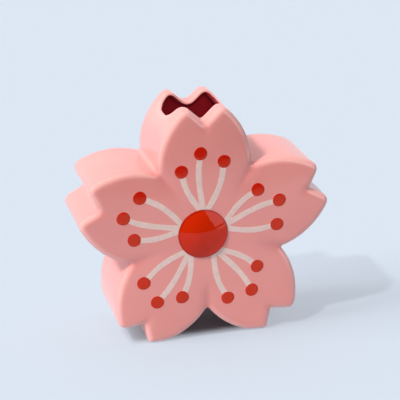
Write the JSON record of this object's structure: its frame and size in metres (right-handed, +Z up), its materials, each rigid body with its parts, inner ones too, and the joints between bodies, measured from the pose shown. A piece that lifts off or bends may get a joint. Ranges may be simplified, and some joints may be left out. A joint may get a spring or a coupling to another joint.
{
  "type": "cherry blossom shaped vase",
  "caption": "Hollow glazed ceramic vase shaped as a cherry blossom standing on two petals, with a slot mouth in the top petal and a raised red centre.",
  "frame": {"origin": "centre of the bounding box's underside, on the surface the vase stands on", "axes": "+Z up, the decorated front face looks along -Y, +X to the right of someone facing it"},
  "size_m": [0.1666, 0.0628, 0.1574],
  "materials": {
    "pink_glaze": "gloss",
    "red_glaze": "gloss",
    "white_enamel": "gloss",
    "red_enamel": "gloss"
  },
  "bodies": {
    "root": {"vase_body": "pink_glaze", "center_button": "red_glaze", "filaments_1": "white_enamel", "filaments_2": "white_enamel", "filaments_3": "white_enamel", "filaments_4": "white_enamel", "filaments_5": "white_enamel", "anther_1_left": "red_enamel", "anther_1_middle": "red_enamel", "anther_1_right": "red_enamel", "anther_2_left": "red_enamel", "anther_2_middle": "red_enamel", "anther_2_right": "red_enamel", "anther_3_left": "red_enamel", "anther_3_middle": "red_enamel", "anther_3_right": "red_enamel", "anther_4_left": "red_enamel", "anther_4_middle": "red_enamel", "anther_4_right": "red_enamel", "anther_5_left": "red_enamel", "anther_5_middle": "red_enamel", "anther_5_right": "red_enamel"}
  },
  "joints": []
}
